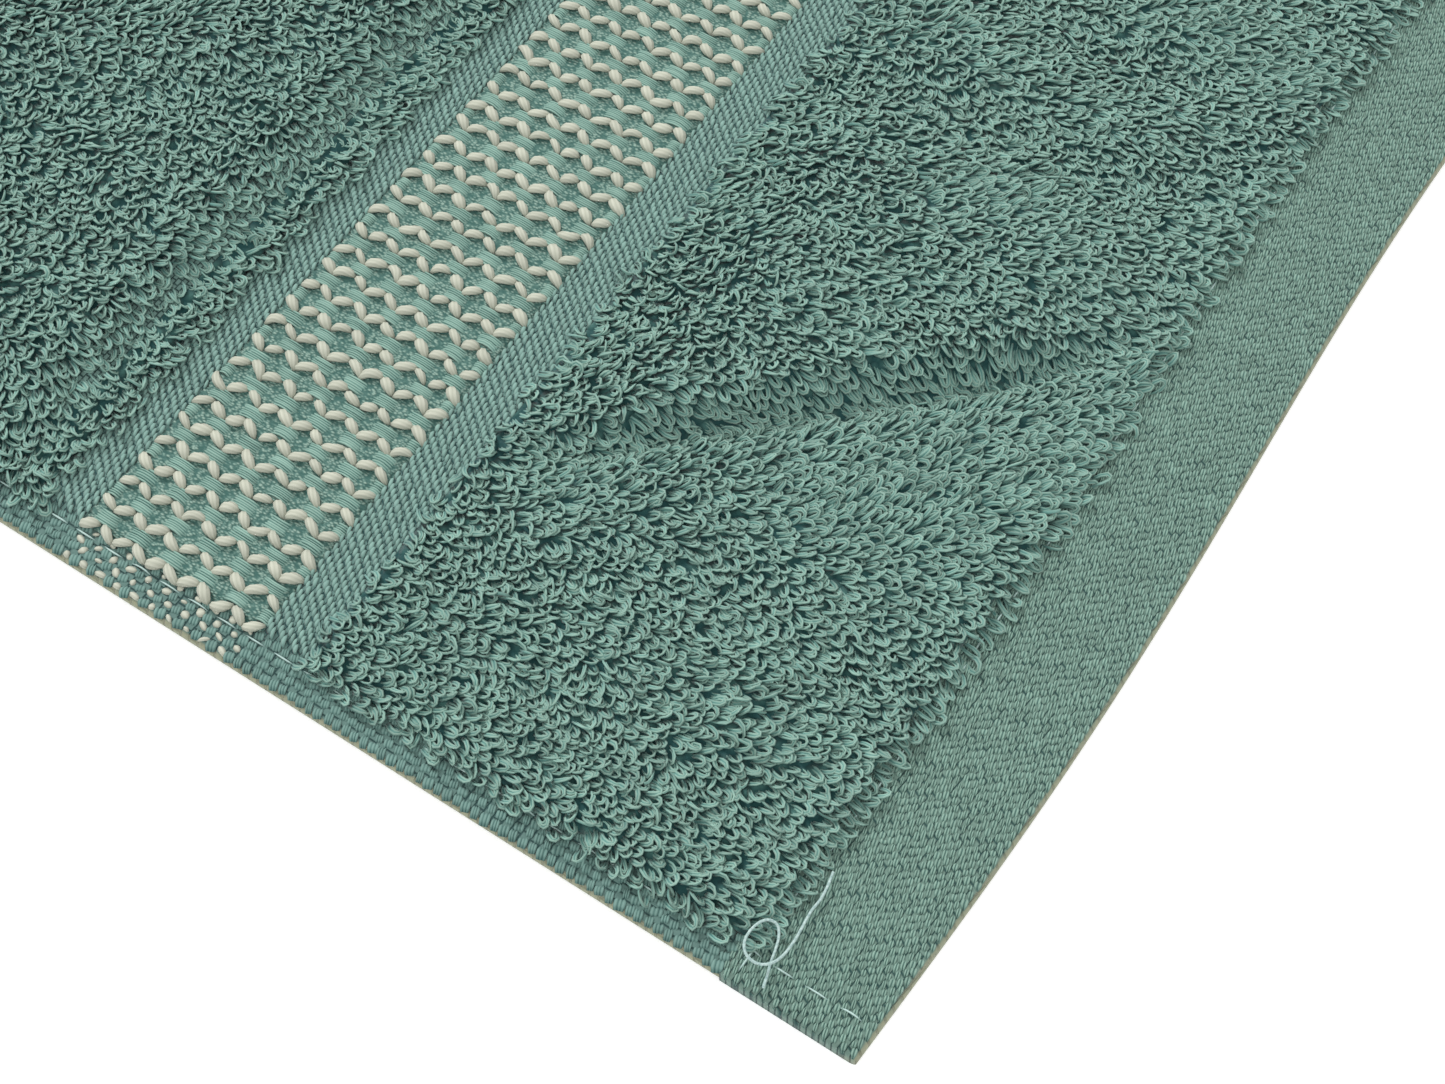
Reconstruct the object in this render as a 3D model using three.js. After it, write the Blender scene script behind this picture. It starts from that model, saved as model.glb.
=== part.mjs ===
// A terry bath towel, laid out flat with its face up. Millimetres, +Z up.
// X runs across the width and Y along the length. The origin is at the middle of the underside.
// The towel folds in half across its width, so every zone is made once for each half.
import * as THREE from "three";

// Overall size.
const towelWidth = 700;
const towelLength = 1400;

// Zones, measured along the length from each end towards the middle.
const endHemDepth = 18;
const endStripLength = 62;
const outerStripeLength = 7;
const borderLength = 28;
const innerStripeLength = 7;

// The folded selvedge along each long side.
const sideHemWidth = 5;

// Layers, from the underside up. The ground cloth carries loops on both faces.
const backPileHeight = 2.25;
const groundThickness = 1.25;
const facePileHeight = 3;
const hemThickness = 2.5;

// Flat bundles and thick yarns that float on the border's ground cloth.
const flatYarnHeight = 0.5;
const thickYarnHeight = 0.75;

// Sewing thread.
const seamThreadDiameter = 0.35;
const endSeamInset = 1.5;
const sideSeamInset = 1;
const sideSeamStart = 1.5;

// The loose tail of the seam thread at one corner: its own thickness and the gap to the seam that it crosses.
const tailDiameter = 0.35;
const tailGap = 0.3;
const tailSteps = 44;

// The fold's axis lies this far above the pile, so that the folded half lies on the other with room to spare.
const foldClearance = 1.5;

// Planes are kept on this grid, which 32-bit numbers hold exactly, so that neighbours share them.
const planeGrid = 1 / 64;
const threadSides = 8;
const roundEdgeSegments = 6;

const materials = {
  pile: { color: 0x7fa79b, roughness: 0.95, metalness: 0 },
  ground: { color: 0x6f978c, roughness: 0.9, metalness: 0 },
  flatWeave: { color: 0x86ab9d, roughness: 0.88, metalness: 0 },
  tealYarn: { color: 0x8fbaab, roughness: 0.8, metalness: 0 },
  whiteYarn: { color: 0xd8dccf, roughness: 0.85, metalness: 0 },
  thread: { color: 0xc9d2c4, roughness: 0.6, metalness: 0 },
};

const halves = [
  { name: "near", side: -1 },
  { name: "far", side: 1 },
];
const sides = [
  { name: "left", side: -1 },
  { name: "right", side: 1 },
];

function onGrid(value) {
  return Math.round(value / planeGrid) * planeGrid;
}

// Distances from a towel end to the start of each zone.
const zoneStart = { endHem: 0 };
zoneStart.endStrip = onGrid(endHemDepth);
zoneStart.outerStripe = onGrid(zoneStart.endStrip + endStripLength);
zoneStart.border = onGrid(zoneStart.outerStripe + outerStripeLength);
zoneStart.innerStripe = onGrid(zoneStart.border + borderLength);
zoneStart.field = onGrid(zoneStart.innerStripe + innerStripeLength);
const zoneEnd = onGrid(towelLength / 2);

// Heights of the layers' boundaries.
const level = { floor: 0 };
level.groundBottom = onGrid(backPileHeight);
level.groundTop = onGrid(backPileHeight + groundThickness);
level.pileTop = onGrid(backPileHeight + groundThickness + facePileHeight);
level.hemTop = onGrid(hemThickness);
level.flatYarnTop = onGrid(level.groundTop + flatYarnHeight);
level.thickYarnTop = onGrid(level.flatYarnTop + thickYarnHeight);

const halfWidth = onGrid(towelWidth / 2);
const bodyHalfWidth = onGrid(towelWidth / 2 - sideHemWidth);

// The fold runs across the width at the middle, at this height, from the near half to the far half.
export const foldAxis = { y: 0, z: level.pileTop + foldClearance };

function addMesh(group, name, geometry, look) {
  const mesh = new THREE.Mesh(geometry, new THREE.MeshStandardMaterial(look));
  mesh.name = name;
  group.add(mesh);
  return mesh;
}

// A layer of one half between the side hems, from one distance to another and one level to another.
function addLayer(group, half, name, look, from, to, bottom, top) {
  const geometry = new THREE.BoxGeometry(2 * bodyHalfWidth, to - from, top - bottom);
  const layer = addMesh(group, `${half.name}_${name}`, geometry, look);
  layer.position.set(0, half.side * (zoneEnd - (from + to) / 2), (bottom + top) / 2);
}

// A looped zone: ground cloth with pile on both faces.
function addTerry(group, half, name, from, to) {
  addLayer(group, half, `${name}_pile_back`, materials.pile, from, to, level.floor, level.groundBottom);
  addLayer(group, half, `${name}_ground`, materials.ground, from, to, level.groundBottom, level.groundTop);
  addLayer(group, half, `${name}_pile_face`, materials.pile, from, to, level.groundTop, level.pileTop);
}

// A plain woven zone, which has no loops.
function addPlainZone(group, half, name, from, to) {
  addLayer(group, half, name, materials.flatWeave, from, to, level.groundBottom, level.groundTop);
}

// The patterned border: a ground cloth under flat bundles and thick yarns.
function addBorder(group, half) {
  const from = zoneStart.border;
  const to = zoneStart.innerStripe;
  addPlainZone(group, half, "border_ground", from, to);
  addLayer(group, half, "border_flat_yarn", materials.tealYarn, from, to, level.groundTop, level.flatYarnTop);
  addLayer(group, half, "border_thick_yarn", materials.whiteYarn, from, to, level.flatYarnTop, level.thickYarnTop);
}

// A hem's section: flat under and over, with a round folded edge on its outer side, at the origin.
function hemSection(width) {
  const radius = level.hemTop / 2;
  const section = new THREE.Shape();
  section.moveTo(width, 0);
  section.lineTo(width, level.hemTop);
  section.lineTo(radius, level.hemTop);
  section.absarc(radius, radius, radius, Math.PI / 2, Math.PI * 1.5, false);
  section.closePath();
  return section;
}

// A hem that runs along -Y from its start with its folded edge at -X, turned about +Z to its side.
function addHem(group, name, { width, length, edge, start, turn }) {
  const geometry = new THREE.ExtrudeGeometry(hemSection(width), {
    depth: length,
    bevelEnabled: false,
    curveSegments: roundEdgeSegments,
  });
  const place = new THREE.Group();
  const hem = addMesh(place, name, geometry, materials.flatWeave);
  hem.rotation.x = Math.PI / 2;
  hem.position.set(-edge, start, 0);
  place.rotation.z = turn;
  group.add(place);
}

// The hem turned over across one end, over the whole width.
function addEndHem(group, half) {
  addHem(group, `${half.name}_end_hem`, {
    width: zoneStart.endStrip,
    length: 2 * halfWidth,
    edge: zoneEnd,
    start: halfWidth,
    turn: (-half.side * Math.PI) / 2,
  });
}

// The folded selvedge along one side of one half, from the end hem to the fold.
function addSideHem(group, half, side) {
  const length = zoneEnd - zoneStart.endStrip;
  addHem(group, `${half.name}_side_hem_${side.name}`, {
    width: halfWidth - bodyHalfWidth,
    length,
    edge: halfWidth,
    start: half.side === side.side ? 0 : length,
    turn: side.side < 0 ? 0 : Math.PI,
  });
}

// A straight row of seam thread lying on a hem, along +Y from its start.
function seamGeometry(length) {
  const section = new THREE.Shape();
  section.absarc(0, 0, seamThreadDiameter / 2, 0, 2 * Math.PI, false);
  const geometry = new THREE.ExtrudeGeometry(section, {
    depth: length,
    bevelEnabled: false,
    curveSegments: threadSides / 2,
  });
  return geometry.rotateX(-Math.PI / 2);
}

function addEndSeam(group, half) {
  const seam = addMesh(
    group,
    `${half.name}_end_hem_stitch`,
    seamGeometry(2 * bodyHalfWidth),
    materials.thread,
  );
  seam.rotation.z = -Math.PI / 2;
  const inset = zoneStart.endStrip - endSeamInset;
  seam.position.set(-bodyHalfWidth, half.side * (zoneEnd - inset), level.hemTop + seamThreadDiameter / 2);
}

// The side seam runs on over the end hem, almost to the towel's end.
function addSideSeam(group, half, side) {
  const length = zoneEnd - sideSeamStart;
  const name = `${half.name}_side_hem_stitch_${side.name}`;
  const seam = addMesh(group, name, seamGeometry(length), materials.thread);
  const x = side.side * (bodyHalfWidth + sideSeamInset);
  seam.position.set(x, half.side < 0 ? -length : 0, level.hemTop + seamThreadDiameter / 2);
}

// The loose thread tail at the near left corner, as [from the side, from the end, above the seam].
// It leaves the folded edge, loops over itself once and lies along the inner edge of the hem.
const tailRoute = [
  [0.9, 12.8, 0],
  [2.3, 13.2, 0],
  [3.8, 13.7, 0.05],
  [5.4, 14.1, 0.2],
  [6.8, 14.6, 0.4],
  [7.7, 15.4, 0.7],
  [7.6, 16.4, 1],
  [6.7, 17.1, 1.2],
  [5.2, 17.4, 1.3],
  [3.8, 17.2, 1.3],
  [2.8, 16.4, 1.25],
  [2.5, 15.3, 1.1],
  [2.8, 14.2, 0.95],
  [3.8, 13.3, 0.8],
  [5.4, 12.9, 0.5],
  [7.4, 12.9, 0.2],
  [9.4, 13.1, 0.05],
  [11.4, 13.3, 0],
  [13.2, 13.2, 0],
  [15, 13.4, 0],
  [16.8, 13.8, 0],
];

function addThreadTail(group) {
  const rise = level.hemTop + seamThreadDiameter + tailGap + tailDiameter / 2;
  const points = tailRoute.map(
    ([across, along, up]) => new THREE.Vector3(across - halfWidth, along - zoneEnd, up + rise),
  );
  const section = new THREE.Shape();
  section.absarc(0, 0, tailDiameter / 2, 0, 2 * Math.PI, false);
  const geometry = new THREE.ExtrudeGeometry(section, {
    steps: tailSteps,
    curveSegments: threadSides / 2,
    extrudePath: new THREE.CatmullRomCurve3(points),
  });
  addMesh(group, "corner_thread_tail", geometry, materials.thread);
}

function buildHalf(half) {
  const group = new THREE.Group();
  addTerry(group, half, "field", zoneStart.field, zoneEnd);
  addPlainZone(group, half, "inner_stripe", zoneStart.innerStripe, zoneStart.field);
  addBorder(group, half);
  addPlainZone(group, half, "outer_stripe", zoneStart.outerStripe, zoneStart.border);
  addTerry(group, half, "strip", zoneStart.endStrip, zoneStart.outerStripe);
  addEndHem(group, half);
  addEndSeam(group, half);
  for (const side of sides) {
    addSideHem(group, half, side);
    addSideSeam(group, half, side);
  }
  return group;
}

const towel = new THREE.Group();
for (const half of halves) {
  towel.add(buildHalf(half));
}
addThreadTail(towel);

export default towel;
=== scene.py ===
# A terry bath towel, laid flat on a pale floor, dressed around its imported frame. Metres, +Z up.
import math

import bpy
import numpy as np
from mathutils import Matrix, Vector


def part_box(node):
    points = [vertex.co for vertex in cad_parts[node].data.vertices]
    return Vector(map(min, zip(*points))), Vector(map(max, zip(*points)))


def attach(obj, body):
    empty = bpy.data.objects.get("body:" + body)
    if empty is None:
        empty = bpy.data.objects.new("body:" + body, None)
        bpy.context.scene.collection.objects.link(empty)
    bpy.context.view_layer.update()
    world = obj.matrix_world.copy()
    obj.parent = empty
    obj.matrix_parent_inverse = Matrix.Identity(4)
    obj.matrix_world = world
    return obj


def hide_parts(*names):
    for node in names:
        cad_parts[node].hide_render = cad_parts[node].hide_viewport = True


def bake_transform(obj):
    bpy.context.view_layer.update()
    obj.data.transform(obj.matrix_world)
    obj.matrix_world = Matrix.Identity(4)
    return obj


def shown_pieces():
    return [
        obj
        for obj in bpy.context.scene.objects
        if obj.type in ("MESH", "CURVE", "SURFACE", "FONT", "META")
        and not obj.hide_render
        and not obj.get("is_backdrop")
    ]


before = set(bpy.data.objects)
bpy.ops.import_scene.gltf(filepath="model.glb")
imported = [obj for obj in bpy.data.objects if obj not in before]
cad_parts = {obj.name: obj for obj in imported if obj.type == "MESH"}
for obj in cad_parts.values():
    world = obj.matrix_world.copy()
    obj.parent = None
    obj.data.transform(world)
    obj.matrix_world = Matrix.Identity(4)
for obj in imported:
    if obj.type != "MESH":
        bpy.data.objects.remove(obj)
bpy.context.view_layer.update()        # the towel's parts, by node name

mm = 0.001
scene = bpy.context.scene
rng = np.random.default_rng(7)
bpy.ops.object.select_all(action="DESELECT")


# the cloth's layout, read from the frame

def nodeSpan(node, axis):
    low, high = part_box(node)
    return low[axis], high[axis]


halfWidth = nodeSpan("near_end_hem", 0)[1]
halfLength = nodeSpan("far_end_hem", 1)[1]
sideHemWidth = halfWidth - nodeSpan("near_field_ground", 0)[1]


def zoneOf(node):
    # where a zone starts and ends, as distances from the towel's end
    low, high = nodeSpan("near_" + node, 1)
    return low + halfLength, high + halfLength


zones = {
    "endHem": zoneOf("end_hem"),
    "strip": zoneOf("strip_ground"),
    "outerStripe": zoneOf("outer_stripe"),
    "border": zoneOf("border_ground"),
    "innerStripe": zoneOf("inner_stripe"),
    "field": zoneOf("field_ground"),
}

halves = {"near": -1, "far": 1}  # each half, and the side of the fold it lies on

levels = {  # heights above the floor on a flat stretch
    "terryGround": 3.2 * mm,
    "plainGround": 2.95 * mm,
    "hem": 2.3 * mm,
    "groundThickness": 0.9 * mm,
    "pile": 2.2 * mm,
    "yarns": 3.0 * mm,  # about the middle of the woven yarns, to tell which are in view
}


# camera

cameraSetup = {
    "lens": 64.4,
    "sensor": 36,
    "clip": (0.01, 20),
    "azimuth": 56.2,
    "elevation": 59.3,
    "distance": 0.317,
    "lookAt": (0.0474, 0.0493),  # from the near left corner
}


def addCamera():
    azimuth = math.radians(cameraSetup["azimuth"])
    elevation = math.radians(cameraSetup["elevation"])
    across, along = cameraSetup["lookAt"]
    target = Vector((across - halfWidth, along - halfLength, 0))
    back = Vector((
        -math.sin(azimuth) * math.cos(elevation),
        -math.cos(azimuth) * math.cos(elevation),
        math.sin(elevation),
    ))
    bpy.ops.object.camera_add(location=target + back * cameraSetup["distance"])
    camera = bpy.context.object
    camera.rotation_euler = (-back).to_track_quat("-Z", "Y").to_euler()
    camera.data.lens = cameraSetup["lens"]
    camera.data.sensor_width = cameraSetup["sensor"]
    camera.data.clip_start, camera.data.clip_end = cameraSetup["clip"]
    scene.camera = camera
    return camera


camera = addCamera()
bpy.context.view_layer.update()
viewShape = 1084 / 1445  # height over width
viewMargin = 0.03  # of the view's width, beyond which the yarns are not made one by one


def outOfView(x, y, z):
    # how far a point lies outside the camera's view, as a share of its width, below 0 inside it
    toCamera = np.array(camera.matrix_world.inverted())
    points = np.stack([x, y, z, np.ones_like(x)], -1) @ toCamera.T
    depth = np.maximum(-points[..., 2], 1e-6)
    scale = camera.data.lens / camera.data.sensor_width
    across = np.abs(points[..., 0] / depth) * scale - 0.5
    up = np.abs(points[..., 1] / depth) * scale - 0.5 * viewShape
    return np.maximum(across, up)


# how the cloth lies

def smooth(value):
    value = np.clip(value, 0, 1)
    return value * value * (3 - 2 * value)


def rising(value, start, over):
    # from 0 at start to 1 that much further on
    return smooth((value - start) / over)


def softNoise(x, y, wavelength, seed, octaves=3):
    # a smooth sum of waves in many directions, about -1 to 1
    draw = np.random.default_rng(seed)
    total = np.zeros(np.broadcast(x, y).shape)
    for octave in range(octaves):
        for _ in range(5):
            angle = draw.uniform(0, 2 * np.pi)
            phase = draw.uniform(0, 2 * np.pi)
            step = 2 * np.pi / (wavelength * draw.uniform(0.75, 1.35) / 1.9**octave)
            wave = np.sin((x * np.cos(angle) + y * np.sin(angle)) * step + phase)
            total = total + wave * 0.6**octave
    return total / 3.2


cornerRelief = {  # seen from the near left corner, in metres across and along
    "acrossFade": (0.2, 0.1),  # where the relief starts to fade, and over how far
    "alongFade": (0.2, 0.12),
    "base": 0.7 * mm,
    "creaseLine": 0.120,  # across + along where the crease runs
    "creaseRise": 2.8 * mm,
    "creaseWidth": 5 * mm,
    "creaseDip": 1.8 * mm,
    "dipAt": -3 * mm,  # from the crease's line
    "dipWidth": 3.3 * mm,
    "rightWave": 0.7 * mm,
    "waveLength": 24 * mm,
    "shoulderAlong": 0.1245,
    "shoulderWidth": 8.5 * mm,
    "shoulderRise": 3.2 * mm,
    "ridgeAt": (0.065, 0.158),
    "ridgeWidth": 8 * mm,
    "ridgeRise": 2.2 * mm,
}


def cornerLift(u, v):
    # the strip's base, crease and waves, then the field's shoulder and ridge
    shape = cornerRelief
    fade = (1 - rising(u, *shape["acrossFade"])) * (1 - rising(v, *shape["alongFade"]))
    inStrip = rising(v, 0.017, 0.02) * (1 - rising(v, 0.064, 0.016)) * rising(u, 0.004, 0.02)
    off = (u + v - shape["creaseLine"]) / math.sqrt(2)
    alongCrease = rising(u, 0.036, 0.012) * (1 - rising(u, 0.098, 0.02))
    rise = rising(off, -0.002, shape["creaseWidth"]) * (1 - 0.75 * rising(off, 0.012, 0.045))
    crease = shape["creaseRise"] * rise * alongCrease
    dip = np.exp(-(((off - shape["dipAt"]) / shape["dipWidth"]) ** 2))
    crease -= shape["creaseDip"] * dip * alongCrease
    phase = 2 * np.pi * (u - 0.121) / shape["waveLength"] + 14 * (v - 0.05)
    waves = shape["rightWave"] * (1 + np.sin(phase)) * rising(u, 0.108, 0.02) * rising(v, 0.02, 0.02)
    strip = (shape["base"] + crease + waves) * inStrip
    shoulder = rising(v, shape["shoulderAlong"], shape["shoulderWidth"])
    shoulder = shoulder * (1 - 0.45 * rising(v, 0.145, 0.06))
    across, along = shape["ridgeAt"]
    offRidge = (u - across) * 0.87 + (v - along) * 0.5
    ridge = np.exp(-((offRidge / shape["ridgeWidth"]) ** 2)) * rising(v, 0.132, 0.02)
    field = (shape["shoulderRise"] * shoulder + shape["ridgeRise"] * ridge) * rising(u, 0.002, 0.02)
    return (strip + field) * fade


wideWaves = {
    "near": 1.6 * mm,  # half the height of the waves in each half
    "far": 0.6 * mm,
    "length": 0.34,
}


def clothLift(x, y):
    # how far the cloth stands off its flat rest height; only the crease dips below it
    u = x + halfWidth
    v = y + halfLength
    edge = np.minimum(halfWidth - np.abs(x), halfLength - np.abs(y))
    inside = rising(edge, 0.012, 0.05)
    offFold = rising(np.abs(y), 0.01, 0.05)
    amount = np.where(y < 0, wideWaves["near"], wideWaves["far"])
    wide = amount * (1 + softNoise(x, y, wideWaves["length"], 3, 2)) * inside * offFold
    away = rising(np.hypot(u, v), 0.2, 0.12)
    return wide * away + cornerLift(u, v)


def edgeBow(x, y):
    # the near end lies in a slight wave beside the corner
    u = x + halfWidth
    v = y + halfLength
    wave = -1.5 * mm * np.sin(2 * np.pi * u / 0.19) * (1 - rising(u, 0.17, 0.02))
    return wave * (1 - rising(v, 0.005, 0.06))


def groundHeight(x, y):
    # the top of the ground cloth or of the hem, above the floor
    distance = halfLength - np.abs(y)
    fromSide = halfWidth - np.abs(x)
    start, end = zones["outerStripe"][0], zones["innerStripe"][1]
    soft = 2 * mm  # each step between two levels takes twice this, a hem's step half of that
    plain = rising(distance, start - soft, 2 * soft) * (1 - rising(distance, end - soft, 2 * soft))
    level = levels["terryGround"] + (levels["plainGround"] - levels["terryGround"]) * plain
    hemSide = rising(fromSide, sideHemWidth - soft / 2, soft)
    hemEnd = rising(distance, zones["endHem"][1] - soft / 2, soft)
    level = levels["hem"] + (level - levels["hem"]) * np.minimum(hemSide, hemEnd)
    return level + clothLift(x, y)


def clothFrame(x, y):
    # the point on the cloth's top, its normal and its two tangents
    step = 0.4 * mm
    z = groundHeight(x, y)
    slopeX = (groundHeight(x + step, y) - groundHeight(x - step, y)) / (2 * step)
    slopeY = (groundHeight(x, y + step) - groundHeight(x, y - step)) / (2 * step)
    point = np.stack([x, y + edgeBow(x, y), z], -1)
    along = np.stack([np.zeros_like(x), np.ones_like(x), slopeY], -1)
    along /= np.linalg.norm(along, axis=-1, keepdims=True)
    across = np.stack([np.ones_like(x), np.zeros_like(x), slopeX], -1)
    across /= np.linalg.norm(across, axis=-1, keepdims=True)
    normal = np.cross(across, along)
    normal /= np.linalg.norm(normal, axis=-1, keepdims=True)
    return point, normal, across, along


# mesh building

def newPiece(name, points, faceSets, material, uv=None, groove=None):
    # one mesh from its points and from arrays of faces, each array with its own number of corners;
    # groove marks the points at the bottom of the grooves between strands
    points = np.asarray(points, float).reshape(-1, 3)
    sizes = np.concatenate([np.full(len(faces), faces.shape[1]) for faces in faceSets])
    corners = np.concatenate([faces.reshape(-1) for faces in faceSets])
    mesh = bpy.data.meshes.new(name)
    mesh.vertices.add(len(points))
    mesh.vertices.foreach_set("co", points.astype(np.float32).ravel())
    mesh.loops.add(len(corners))
    mesh.loops.foreach_set("vertex_index", corners.astype(np.int32))
    mesh.polygons.add(len(sizes))
    starts = np.concatenate([[0], np.cumsum(sizes)[:-1]])
    mesh.polygons.foreach_set("loop_start", starts.astype(np.int32))
    mesh.update(calc_edges=True)
    mesh.polygons.foreach_set("use_smooth", np.ones(len(sizes), bool))
    if groove is not None:
        ends = np.empty(len(mesh.edges) * 2, np.int32)
        mesh.edges.foreach_get("vertices", ends)
        mesh.edges.foreach_set("use_edge_sharp", groove.ravel()[ends].reshape(-1, 2).all(1))
    if uv is not None:
        layer = mesh.uv_layers.new(name="OFBake")
        layer.data.foreach_set("uv", uv.reshape(-1, 2)[corners].astype(np.float32).ravel())
    mesh.materials.append(material)
    piece = bpy.data.objects.new(name, mesh)
    scene.collection.objects.link(piece)
    return piece


def gridFaces(rows, columns, start=0, closedColumns=False):
    # quads of a grid whose points are numbered row by row
    row = np.arange(rows - 1)[:, None]
    last = columns if closedColumns else columns - 1
    column = np.arange(last)[None, :]
    follow = (column + 1) % columns
    quads = np.stack([
        row * columns + column,
        row * columns + follow,
        (row + 1) * columns + follow,
        (row + 1) * columns + column,
    ], -1)
    return quads.reshape(-1, 4) + start


def spacing(low, high, step):
    return np.linspace(low, high, max(2, int(round((high - low) / step)) + 1))


def linesAcross(low, high, fine, coarse):
    # grid lines across the towel, close together beside the near left corner
    middle = min(high, -halfWidth + 0.18)
    if low >= middle:
        return spacing(low, high, coarse)
    return np.concatenate([spacing(low, middle, fine)[:-1], spacing(middle, high, coarse)])


def linesAlong(low, high, step):
    # grid lines along the towel, close together where it folds
    fold = 16 * mm
    if -1e-6 < low < fold:
        return np.concatenate([spacing(0, fold, 1 * mm)[:-1], spacing(fold, high, step)])
    return spacing(low, high, step)


def slab(name, xs, ys, top, bottom, material, shift=None):
    # a closed sheet between two heights over a grid
    x, y = np.meshgrid(xs, ys)
    bow = edgeBow(x, y)
    upper = np.stack([x, y + bow, top(x, y)], -1)
    lower = np.stack([x, y + bow, bottom(x, y)], -1)
    if shift is not None:
        upper[..., :2] += shift(x, y)
    rows, columns = x.shape
    count = rows * columns
    faces = gridFaces(rows, columns)
    index = np.arange(count).reshape(rows, columns)
    rim = np.concatenate([index[0, :-1], index[:-1, -1], index[-1, :0:-1], index[:0:-1, 0]])
    follow = np.roll(rim, -1)
    wall = np.stack([rim, rim + count, follow + count, follow], -1)
    points = np.concatenate([upper.reshape(-1, 3), lower.reshape(-1, 3)])
    return newPiece(name, points, [faces, faces[:, ::-1] + count, wall], material)


# the yarn map's layout: up it, height and crest weigh the painted shade low on each yarn and in its grooves
# against the painted highlight on its crown and crests
yarnMap = {
    "floor": 0.06,
    "height": 0.5,
    "crest": 0.42,
    "toneRound": 0.018,
    "toneTurn": 0.26,
    "grooveBelow": 0.05,
}


def sweep(paths, sideways, sections, uTone, heights, crest):
    # tubes along many paths at once, all with the same number of points
    # paths and sideways: (tubes, steps, 3); sections: (tubes, steps, sides, 2) offsets across and up
    tangent = np.gradient(paths, axis=1)
    tangent /= np.maximum(np.linalg.norm(tangent, axis=-1, keepdims=True), 1e-9)
    across = sideways - tangent * np.sum(sideways * tangent, -1, keepdims=True)
    across /= np.maximum(np.linalg.norm(across, axis=-1, keepdims=True), 1e-9)
    up = np.cross(tangent, across)
    points = (
        paths[:, :, None]
        + across[:, :, None] * sections[..., :1]
        + up[:, :, None] * sections[..., 1:]
    )
    tubes, steps, sides = points.shape[:3]
    one = gridFaces(steps, sides, closedColumns=True)
    offsets = np.arange(tubes)[:, None, None] * steps * sides
    walls = (one[None] + offsets).reshape(-1, 4)
    cap = np.arange(sides)
    first = (cap[::-1][None] + offsets[:, 0]).reshape(tubes, sides)
    last = (cap[None] + (steps - 1) * sides + offsets[:, 0]).reshape(tubes, sides)
    # the yarn map: across it the yarn's own tone, a little different round the yarn,
    # and up it the height along the yarn and how far each corner stands out of a groove,
    # which the materials paint as shade low down and in the grooves and as a highlight high up
    angle = 2 * np.pi * np.arange(sides) / sides + yarnMap["toneTurn"]
    u = uTone[:, None, None] + yarnMap["toneRound"] * np.sin(angle)[None, None, :] + np.zeros((1, steps, 1))
    v = yarnMap["floor"] + yarnMap["height"] * heights[..., None] + yarnMap["crest"] * crest
    uv = np.stack([u, np.broadcast_to(np.clip(v, 0.01, 0.99), u.shape)], -1)
    groove = np.broadcast_to(crest < yarnMap["grooveBelow"], points.shape[:3])
    return points.reshape(-1, 3), [walls, np.concatenate([first, last])], uv.reshape(-1, 2), groove


def turned(sections, angle):
    # each yarn's section at each step, turned about the yarn
    c, s = np.cos(angle)[..., None], np.sin(angle)[..., None]
    x, y = sections[:, None, :, 0], sections[:, None, :, 1]
    return np.stack([x * c - y * s, x * s + y * c], -1)


# shader maths

class Wire:
    # a socket that takes part in expressions
    tree = None

    def __init__(self, socket):
        self.socket = socket

    @classmethod
    def node(cls, kind, settings=None, inputs=None, output=0):
        made = cls.tree.nodes.new(kind)
        for name, value in (settings or {}).items():
            if name == "stops":
                ramp = made.color_ramp
                while len(ramp.elements) < len(value):
                    ramp.elements.new(0.5)
                for element, (position, colour) in zip(ramp.elements, value):
                    element.position = position
                    element.color = (*colour, 1)
            else:
                setattr(made, name, value)
        for name, value in (inputs or {}).items():
            if isinstance(value, Wire):
                cls.tree.links.new(value.socket, made.inputs[name])
            else:
                made.inputs[name].default_value = value
        return cls(made.outputs[output])

    @classmethod
    def attribute(cls, name):
        return cls.node("ShaderNodeAttribute", {"attribute_name": name}, None, 2)

    def maths(self, operation, other):
        return Wire.node("ShaderNodeMath", {"operation": operation}, {0: self, 1: other})

    def __add__(self, other):
        return self.maths("ADD", other)

    __radd__ = __add__

    def __mul__(self, other):
        return self.maths("MULTIPLY", other)

    __rmul__ = __mul__

    def __sub__(self, other):
        return self.maths("SUBTRACT", other)

    def __rsub__(self, other):
        return Wire.node("ShaderNodeMath", {"operation": "SUBTRACT"}, {0: other, 1: self})

    def clamped(self):
        return Wire.node("ShaderNodeClamp", None, {"Value": self})

    def stepped(self, low, high):
        settings = {"interpolation_type": "SMOOTHSTEP"}
        return Wire.node("ShaderNodeMapRange", settings, {"Value": self, 1: low, 2: high})

    def ramp(self, *stops):
        return Wire.node("ShaderNodeValToRGB", {"stops": stops}, {"Fac": self})

    def mixed(self, first, second):
        return Wire.node("ShaderNodeMix", {"data_type": "RGBA"}, {0: self, 6: first, 7: second}, 2)

    def tinted(self, other):
        settings = {"data_type": "RGBA", "blend_type": "MULTIPLY"}
        return Wire.node("ShaderNodeMix", settings, {0: 1.0, 6: self, 7: other}, 2)


def sRgb(red, green, blue):
    # a colour picked on screen, as the shader's own linear one
    values = np.array([red, green, blue]) / 255
    linear = np.where(values <= 0.04045, values / 12.92, ((values + 0.055) / 1.055) ** 2.4)
    return tuple(float(value) for value in linear)


def opaque(colour):
    return (*colour, 1.0)


def grey(value):
    return (value, value, value)


def newMaterial(name, roughness, sheen=0.0):
    material = bpy.data.materials.new(name)
    material.use_nodes = True
    Wire.tree = material.node_tree
    shader = material.node_tree.nodes["Principled BSDF"]
    shader.inputs["Roughness"].default_value = roughness
    shader.inputs["Specular IOR Level"].default_value = 0.25
    shader.inputs["Sheen Weight"].default_value = sheen
    shader.inputs["Sheen Roughness"].default_value = 0.45
    return material, shader


def feed(shader, name, wire):
    Wire.tree.links.new(wire.socket, shader.inputs[name])


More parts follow.
